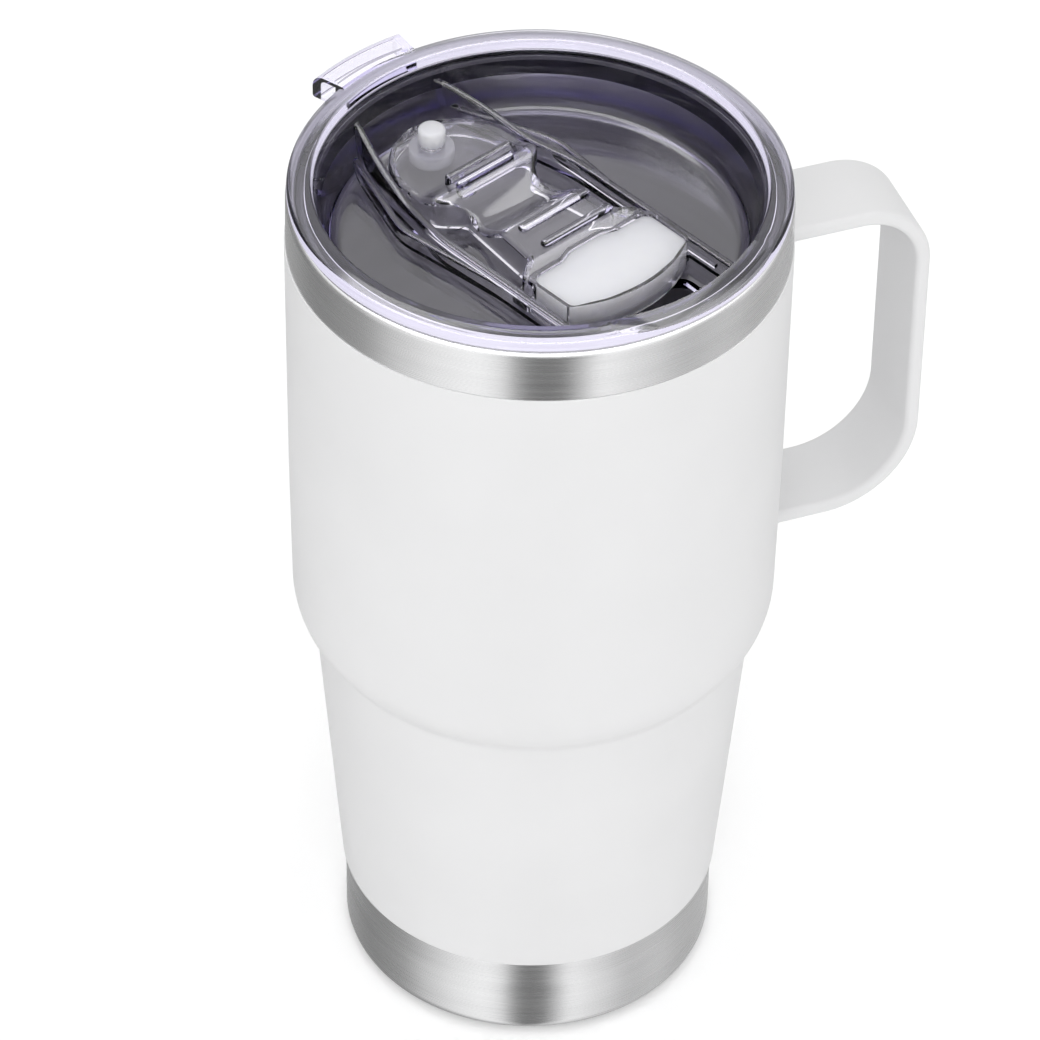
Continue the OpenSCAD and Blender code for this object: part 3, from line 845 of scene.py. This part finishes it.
def make_slider():
    low = SLIDER_LOW - 1
    high = MIDDLE_TOP + 3
    half, rear, front = SLIDER_FOOT_HALF, SLIDER_FOOT_REAR, SLIDER_FOOT_FRONT
    foot = rounded([(rear, -half, 0.8), (front, -half, 0.8), (front, half, 0.8), (rear, half, 0.8)], 4)
    slider = loft("slider_skin", [slider_ring(u) for u in slider_stations()], 40)
    added = [
        prism("foot", foot, SLIDER_LOW, SLIDER_LOW + SLIDER_FOOT_THICK),
        seal_edge(),
        grip_bar("rear_ridge", -16.6, 8.5, RIDGE_WIDTH, REAR_TOP - 0.5),
        grip_bar("front_ridge", -13.8, 6.5, RIDGE_WIDTH, REAR_TOP - 0.5),
        grip_bar("rear_grip", 1.9, 9.6, GRIP_WIDTH, MIDDLE_TOP - 0.4),
        grip_bar("front_grip", 7.5, 9.6, GRIP_WIDTH, MIDDLE_TOP - 0.4),
    ]
    for tool in added:
        combine(slider, tool, "UNION")
    removed = [
        prism("opening", seal_outline(SEAL_SPREAD + 0.02), low, high),
        prism("seat", seal_outline(SEAL_GRIP + FIT), low, SLIDER_LOW + SEAL_FOOT + 0.1),
        prism("hole", circle(PLUG_PLACE, PLUG_NECK + FIT, 40), low, high),
    ]
    for tool in removed:
        combine(slider, tool, "DIFFERENCE")
    turn_with_lid(slider)
    place(slider, "slider", "slider", CLEAR_SLIDER)


def make_mouth_seal():
    high = FRONT_TOP + 0.3
    pad = prism("seal_skin", seal_outline(SEAL_SPREAD), SLIDER_LOW + FIT, high, 0.5, 5)
    foot = prism("foot", seal_outline(SEAL_GRIP), SLIDER_LOW, SLIDER_LOW + SEAL_FOOT)
    combine(pad, foot, "UNION")
    turn_with_lid(pad)
    place(pad, "slider", "mouth_seal", WHITE_SILICONE)


def make_vent_plug():
    """Plug with a foot under the slider's rear, a neck through it and a knob on top."""
    foot_high = REAR_TOP - SLIDER_SKIN - FIT
    knob_low = REAR_TOP + FIT
    knob_high = REAR_TOP + PLUG_RISE
    corners = [
        (0, SLIDER_LOW, 0), (PLUG_FOOT, SLIDER_LOW, 0.6), (PLUG_FOOT, foot_high, 0.4),
        (PLUG_NECK, foot_high, 0), (PLUG_NECK, knob_low, 0), (PLUG_KNOB, knob_low, 0.2),
        (PLUG_KNOB, knob_high, 0.6), (0, knob_high, 0),
    ]
    plug = spin("plug_skin", rounded(corners, 6), steps=64)
    plug.data.transform(Matrix.Translation((PLUG_PLACE * MM, 0, 0)))
    turn_with_lid(plug)
    place(plug, "slider", "vent_plug", WHITE_SILICONE)


# ---------------------------------------------------------------- carried CAD nodes

def dress_cad_nodes():
    """Gives the hidden CAD pieces, which keep their own meshes, their materials."""
    materials = {
        "outer_base": STEEL, "base_cap": STEEL, "solder_seal": SOLDER, "getter": GETTER_METAL,
        "getter_clip": LIT_LINER_STEEL, "copper_layer": COPPER, "handle_welds": LIT_LINER_STEEL,
    }
    for node, material in materials.items():
        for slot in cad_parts[node].material_slots:
            slot.material = material


# ---------------------------------------------------------------- stage, in metres

VIEW_TURN = math.radians(-20.76)
VIEW_RISE = math.radians(41.595)
VIEW_ROLL = math.radians(0.956)
VIEW_DISTANCE = 1.0689
VIEW_TARGET = (-0.00253, 0, 0.0962)
SENSOR_WIDTH = 36
LENS = 207.7
FLOOR_HALF = 3.0


def make_camera():
    """Camera on the -Y side, turned round the cup, raised and rolled a little."""
    turn = Matrix.Rotation(VIEW_TURN, 3, "Z")
    target = turn @ Vector(VIEW_TARGET)
    back = turn @ Vector((0, -math.cos(VIEW_RISE), math.sin(VIEW_RISE)))
    right = turn @ Vector((1, 0, 0))
    up = back.cross(right)
    camera_x = right * math.cos(VIEW_ROLL) + up * math.sin(VIEW_ROLL)
    camera_y = up * math.cos(VIEW_ROLL) - right * math.sin(VIEW_ROLL)
    data = bpy.data.cameras.new("camera")
    data.sensor_width = SENSOR_WIDTH
    data.lens = LENS
    data.clip_start = 0.05
    camera = bpy.data.objects.new("camera", data)
    bpy.context.scene.collection.objects.link(camera)
    axes = Matrix((camera_x, camera_y, back)).transposed().to_4x4()
    camera.matrix_world = Matrix.Translation(target + back * VIEW_DISTANCE) @ axes
    bpy.context.scene.camera = camera


def make_floor():
    size = FLOOR_HALF
    mesh = bpy.data.meshes.new("floor")
    corners = [(-size, -size, 0), (size, -size, 0), (size, size, 0), (-size, size, 0)]
    mesh.from_pydata(corners, [], [(0, 1, 2, 3)])
    floor = bpy.data.objects.new("floor", mesh)
    bpy.context.scene.collection.objects.link(floor)
    recipe = Recipe("floor_white", (0.97, 0.97, 0.97), 0.7)
    recipe.bump(recipe.noise(300, 2), 0.0001, 0.1)
    mesh.materials.append(recipe.material)
    floor.visible_glossy = False


# Brightness that reflections see, by azimuth in degrees from the camera's side (plus is right)
REFLECTED_ROOM = [
    (-180, 0.5), (-146, 0.45), (-118, 0.3), (-86, 0.42), (-62, 0.95), (-44, 1.25), (-26, 1.4),
    (-16, 1.2), (-9, 0.5), (-3, 0.25), (12, 0.25), (19, 0.7), (28, 1.4), (48, 1.1),
    (70, 0.72), (92, 0.85), (115, 0.62), (146, 0.65), (180, 0.6),
]
# Brightness above, by the sine of the elevation: a plain ceiling with a ring of lamps
REFLECTED_CEILING = [(0.0, 1.8), (0.76, 1.8), (0.81, 7.0), (0.91, 7.0), (0.95, 2.0)]
CEILING_PEAK = 7.0
CEILING_START = (0.35, 0.6)
ROOM_PEAK = 1.5
PLAIN_LIGHT = 1.0


def soft_box(name, azimuth, elevation, distance, size, power):
    """Rectangular light that faces the tumbler from an azimuth measured from the camera's."""
    turn = VIEW_TURN + math.radians(azimuth)
    rise = math.radians(elevation)
    level = math.cos(rise)
    away = Vector((math.sin(turn) * level, -math.cos(turn) * level, math.sin(rise)))
    data = bpy.data.lights.new(name, "AREA")
    data.shape = "RECTANGLE"
    data.size, data.size_y = size
    data.energy = power
    light = bpy.data.objects.new(name, data)
    bpy.context.scene.collection.objects.link(light)
    light.location = Vector((0, 0, 0.1)) + away * distance
    light.rotation_euler = away.to_track_quat("Z", "Y").to_euler()
    light.visible_camera = False
    light.visible_glossy = False


def level_ramp(nodes, levels, peak):
    """Colour ramp through (position, level) pairs, with the levels divided by their peak."""
    node = nodes.new("ShaderNodeValToRGB")
    node.color_ramp.interpolation = "EASE"
    for i, (position, level) in enumerate(levels):
        if i < 2:
            stop = node.color_ramp.elements[i]
            stop.position = position
        else:
            stop = node.color_ramp.elements.new(position)
        stop.color = (*[level / peak] * 3, 1)
    return node


def scaled(tree, colour, factor):
    """Multiplies a ramp's output by a constant."""
    node = tree.nodes.new("ShaderNodeMath")
    node.operation = "MULTIPLY"
    node.inputs[1].default_value = factor
    tree.links.new(colour, node.inputs[0])
    return node.outputs["Value"]


def mixed(tree, factor, low, high):
    """Mix of two levels, each a socket or a number."""
    node = tree.nodes.new("ShaderNodeMix")
    tree.links.new(factor, node.inputs["Factor"])
    for name, level in (("A", low), ("B", high)):
        if isinstance(level, float):
            node.inputs[name].default_value = level
        else:
            tree.links.new(level, node.inputs[name])
    return node.outputs["Result"]


def room_level(tree, direction):
    """Level of the room round the cup, by azimuth."""
    turn = tree.nodes.new("ShaderNodeMapping")
    turn.inputs["Rotation"].default_value = (0, 0, math.pi / 2 - VIEW_TURN)
    azimuth = tree.nodes.new("ShaderNodeTexGradient")
    azimuth.gradient_type = "RADIAL"
    stops = [(degrees / 360 + 0.5, level) for degrees, level in REFLECTED_ROOM]
    room = level_ramp(tree.nodes, stops, ROOM_PEAK)
    tree.links.new(direction, turn.inputs["Vector"])
    tree.links.new(turn.outputs["Vector"], azimuth.inputs["Vector"])
    tree.links.new(azimuth.outputs["Fac"], room.inputs["Fac"])
    return scaled(tree, room.outputs["Color"], ROOM_PEAK)


def reflected_level(tree):
    """Level that reflections see: the room below, blending into the ceiling above."""
    direction = tree.nodes.new("ShaderNodeTexCoord").outputs["Generated"]
    height = tree.nodes.new("ShaderNodeSeparateXYZ")
    tree.links.new(direction, height.inputs["Vector"])
    overhead = level_ramp(tree.nodes, REFLECTED_CEILING, CEILING_PEAK)
    tree.links.new(height.outputs["Z"], overhead.inputs["Fac"])
    above = tree.nodes.new("ShaderNodeMapRange")
    above.interpolation_type = "SMOOTHSTEP"
    above.inputs["From Min"].default_value, above.inputs["From Max"].default_value = CEILING_START
    tree.links.new(height.outputs["Z"], above.inputs["Value"])
    ceiling = scaled(tree, overhead.outputs["Color"], CEILING_PEAK)
    return mixed(tree, above.outputs["Result"], room_level(tree, direction), ceiling)


def make_world():
    """White world for plain light; mirror reflections see upright soft boxes round the object."""
    world = bpy.data.worlds.new("studio")
    world.use_nodes = True
    tree = world.node_tree
    path = tree.nodes.new("ShaderNodeLightPath")
    # A ray that passes through clear plastic also counts as glossy, so it is taken off again.
    mirrored = tree.nodes.new("ShaderNodeMath")
    mirrored.operation = "SUBTRACT"
    mirrored.use_clamp = True
    tree.links.new(path.outputs["Is Glossy Ray"], mirrored.inputs[0])
    tree.links.new(path.outputs["Is Transmission Ray"], mirrored.inputs[1])
    level = mixed(tree, mirrored.outputs["Value"], PLAIN_LIGHT, reflected_level(tree))
    background = tree.nodes["Background"]
    background.inputs["Color"].default_value = (1, 1, 1, 1)
    tree.links.new(level, background.inputs["Strength"])
    bpy.context.scene.world = world


def make_light():
    make_world()
    soft_box("key", 0, 38, 1.4, (0.7, 0.7), 3.6)
    scene = bpy.context.scene
    scene.view_settings.view_transform = "Standard"
    scene.cycles.use_denoising = True
    scene.cycles.max_bounces = 24
    scene.cycles.transmission_bounces = 20
    scene.cycles.transparent_max_bounces = 16


make_camera()
make_floor()
make_light()
make_outer_shell()
make_body_coat()
make_inner_liner()
make_handle_strap()
make_lid_shell()
make_lid_gasket()
make_slider()
make_mouth_seal()
make_vent_plug()
dress_cad_nodes()
